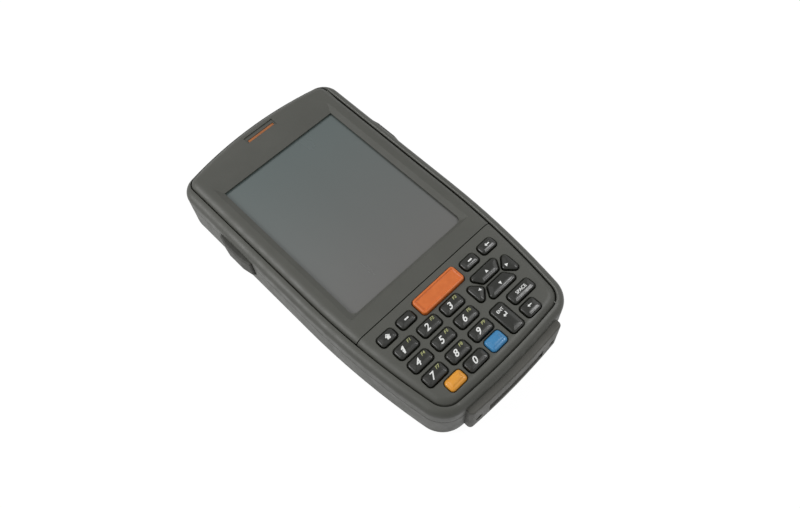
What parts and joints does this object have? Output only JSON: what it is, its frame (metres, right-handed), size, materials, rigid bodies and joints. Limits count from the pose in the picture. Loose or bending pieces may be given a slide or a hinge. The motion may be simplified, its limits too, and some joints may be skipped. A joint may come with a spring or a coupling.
{
  "type": "portable barcode data terminal",
  "caption": "Hand-held data terminal with a touch screen, a keypad with arrow and scan keys, side buttons, a scan window, a hinged battery door, a dock port and a stylus.",
  "frame": {"origin": "centre of the bounding box's bottom, on the plane that the back rests on", "axes": "+X to the right across the screen, +Y towards the top end with the scan window, +Z out of the face"},
  "size_m": [0.0804, 0.1456, 0.0264],
  "materials": {
    "housing_plastic": "fine matte texture",
    "dock_plastic": "matte",
    "key_black": "gloss",
    "key_orange": "satin gloss",
    "key_amber_plastic": "gloss",
    "key_blue_plastic": "gloss",
    "screen_glass": "anti-glare",
    "display_metal": "satin",
    "amber_lens": "clear gloss",
    "button_rubber": "matte",
    "board_green": "satin",
    "steel": "satin",
    "brass": "turned",
    "frame_alloy": "as cast",
    "seal_rubber": "matte",
    "silicone": "matte",
    "window_red": "polished",
    "black_plastic": "matte",
    "stylus_plastic": "satin",
    "battery_plastic": "matte",
    "white_ceramic": "gloss"
  },
  "bodies": {
    "housing": {"rear_cover": "housing_plastic", "front_cover": "housing_plastic", "display_bezel": "housing_plastic", "keypad_bezel": "housing_plastic", "dock_cover": "dock_plastic", "touch_panel": "screen_glass", "lcd_module": "display_metal", "touch_gasket": "seal_rubber", "housing_seal": "seal_rubber", "mid_frame": "frame_alloy", "main_board": "board_green", "keypad_board": "board_green", "keypad_mat": "silicone", "shield_cans": "steel", "radio_module": "steel", "backup_cell": "steel", "card_socket": "steel", "status_led": "white_ceramic", "light_pipe": "amber_lens", "side_switches": "black_plastic", "scan_engine": "black_plastic", "scan_bracket": "frame_alloy", "scan_window": "window_red", "speaker": "black_plastic", "microphone": "steel", "battery_pack": "battery_plastic", "battery_contacts": "black_plastic", "door_hinge_pins": "steel", "dock_connector": "black_plastic", "stylus_tube": "black_plastic", "housing_screws": "steel", "threaded_inserts": "brass"},
    "key_home": {"key_home": "key_black"},
    "key_dash_left": {"key_dash_left": "key_black"},
    "key_scan": {"key_scan": "key_orange"},
    "key_dash_right": {"key_dash_right": "key_black"},
    "key_back": {"key_back": "key_black"},
    "key_1": {"key_1": "key_black"},
    "key_2": {"key_2": "key_black"},
    "key_3": {"key_3": "key_black"},
    "key_4": {"key_4": "key_black"},
    "key_5": {"key_5": "key_black"},
    "key_6": {"key_6": "key_black"},
    "key_7": {"key_7": "key_black"},
    "key_8": {"key_8": "key_black"},
    "key_9": {"key_9": "key_black"},
    "key_amber": {"key_amber": "key_amber_plastic"},
    "key_0": {"key_0": "key_black"},
    "key_blue": {"key_blue": "key_blue_plastic"},
    "key_enter": {"key_enter": "key_black"},
    "key_space": {"key_space": "key_black"},
    "key_erase": {"key_erase": "key_black"},
    "key_left": {"key_left": "key_black"},
    "key_right": {"key_right": "key_black"},
    "key_up": {"key_up": "key_black"},
    "key_down": {"key_down": "key_black"},
    "left_side_button": {"left_side_button": "button_rubber"},
    "right_side_button": {"right_side_button": "button_rubber"},
    "battery_door": {"battery_door": "housing_plastic"},
    "stylus": {"stylus": "stylus_plastic"}
  },
  "joints": [
    {"name": "key_home_press", "type": "slide", "parent": "housing", "child": "key_home", "axis": [0, 0, -1], "range_m": [0, 0.0007], "stiffness_N_per_m": 400, "springref_m": -0.0006},
    {"name": "key_dash_left_press", "type": "slide", "parent": "housing", "child": "key_dash_left", "axis": [0, 0, -1], "range_m": [0, 0.0007], "stiffness_N_per_m": 400, "springref_m": -0.0006},
    {"name": "key_scan_press", "type": "slide", "parent": "housing", "child": "key_scan", "axis": [0, 0, -1], "range_m": [0, 0.0007], "stiffness_N_per_m": 400, "springref_m": -0.0006},
    {"name": "key_dash_right_press", "type": "slide", "parent": "housing", "child": "key_dash_right", "axis": [0, 0, -1], "range_m": [0, 0.0007], "stiffness_N_per_m": 400, "springref_m": -0.0006},
    {"name": "key_back_press", "type": "slide", "parent": "housing", "child": "key_back", "axis": [0, 0, -1], "range_m": [0, 0.0007], "stiffness_N_per_m": 400, "springref_m": -0.0006},
    {"name": "key_1_press", "type": "slide", "parent": "housing", "child": "key_1", "axis": [0, 0, -1], "range_m": [0, 0.0007], "stiffness_N_per_m": 400, "springref_m": -0.0006},
    {"name": "key_2_press", "type": "slide", "parent": "housing", "child": "key_2", "axis": [0, 0, -1], "range_m": [0, 0.0007], "stiffness_N_per_m": 400, "springref_m": -0.0006},
    {"name": "key_3_press", "type": "slide", "parent": "housing", "child": "key_3", "axis": [0, 0, -1], "range_m": [0, 0.0007], "stiffness_N_per_m": 400, "springref_m": -0.0006},
    {"name": "key_4_press", "type": "slide", "parent": "housing", "child": "key_4", "axis": [0, 0, -1], "range_m": [0, 0.0007], "stiffness_N_per_m": 400, "springref_m": -0.0006},
    {"name": "key_5_press", "type": "slide", "parent": "housing", "child": "key_5", "axis": [0, 0, -1], "range_m": [0, 0.0007], "stiffness_N_per_m": 400, "springref_m": -0.0006},
    {"name": "key_6_press", "type": "slide", "parent": "housing", "child": "key_6", "axis": [0, 0, -1], "range_m": [0, 0.0007], "stiffness_N_per_m": 400, "springref_m": -0.0006},
    {"name": "key_7_press", "type": "slide", "parent": "housing", "child": "key_7", "axis": [0, 0, -1], "range_m": [0, 0.0007], "stiffness_N_per_m": 400, "springref_m": -0.0006},
    {"name": "key_8_press", "type": "slide", "parent": "housing", "child": "key_8", "axis": [0, 0, -1], "range_m": [0, 0.0007], "stiffness_N_per_m": 400, "springref_m": -0.0006},
    {"name": "key_9_press", "type": "slide", "parent": "housing", "child": "key_9", "axis": [0, 0, -1], "range_m": [0, 0.0007], "stiffness_N_per_m": 400, "springref_m": -0.0006},
    {"name": "key_amber_press", "type": "slide", "parent": "housing", "child": "key_amber", "axis": [0, 0, -1], "range_m": [0, 0.0007], "stiffness_N_per_m": 400, "springref_m": -0.0006},
    {"name": "key_0_press", "type": "slide", "parent": "housing", "child": "key_0", "axis": [0, 0, -1], "range_m": [0, 0.0007], "stiffness_N_per_m": 400, "springref_m": -0.0006},
    {"name": "key_blue_press", "type": "slide", "parent": "housing", "child": "key_blue", "axis": [0, 0, -1], "range_m": [0, 0.0007], "stiffness_N_per_m": 400, "springref_m": -0.0006},
    {"name": "key_enter_press", "type": "slide", "parent": "housing", "child": "key_enter", "axis": [0, 0, -1], "range_m": [0, 0.0007], "stiffness_N_per_m": 400, "springref_m": -0.0006},
    {"name": "key_space_press", "type": "slide", "parent": "housing", "child": "key_space", "axis": [0, 0, -1], "range_m": [0, 0.0007], "stiffness_N_per_m": 400, "springref_m": -0.0006},
    {"name": "key_erase_press", "type": "slide", "parent": "housing", "child": "key_erase", "axis": [0, 0, -1], "range_m": [0, 0.0007], "stiffness_N_per_m": 400, "springref_m": -0.0006},
    {"name": "key_left_press", "type": "slide", "parent": "housing", "child": "key_left", "axis": [0, 0, -1], "range_m": [0, 0.0007], "stiffness_N_per_m": 400, "springref_m": -0.0006},
    {"name": "key_right_press", "type": "slide", "parent": "housing", "child": "key_right", "axis": [0, 0, -1], "range_m": [0, 0.0007], "stiffness_N_per_m": 400, "springref_m": -0.0006},
    {"name": "key_up_press", "type": "slide", "parent": "housing", "child": "key_up", "axis": [0, 0, -1], "range_m": [0, 0.0007], "stiffness_N_per_m": 400, "springref_m": -0.0006},
    {"name": "key_down_press", "type": "slide", "parent": "housing", "child": "key_down", "axis": [0, 0, -1], "range_m": [0, 0.0007], "stiffness_N_per_m": 400, "springref_m": -0.0006},
    {"name": "left_side_button_press", "type": "slide", "parent": "housing", "child": "left_side_button", "axis": [1, 0, 0], "range_m": [0, 0.001], "stiffness_N_per_m": 500, "springref_m": -0.0006},
    {"name": "right_side_button_press", "type": "slide", "parent": "housing", "child": "right_side_button", "axis": [-1, 0, 0], "range_m": [0, 0.001], "stiffness_N_per_m": 500, "springref_m": -0.0006},
    {"name": "battery_door_hinge", "type": "hinge", "parent": "housing", "child": "battery_door", "pos_m": [-0.0025, -0.04902, 0.0018], "axis": [-1, 0, 0], "range_deg": [0, 90]},
    {"name": "stylus_slide", "type": "slide", "parent": "housing", "child": "stylus", "axis": [0, 1, 0], "range_m": [0, 0.085]}
  ]
}
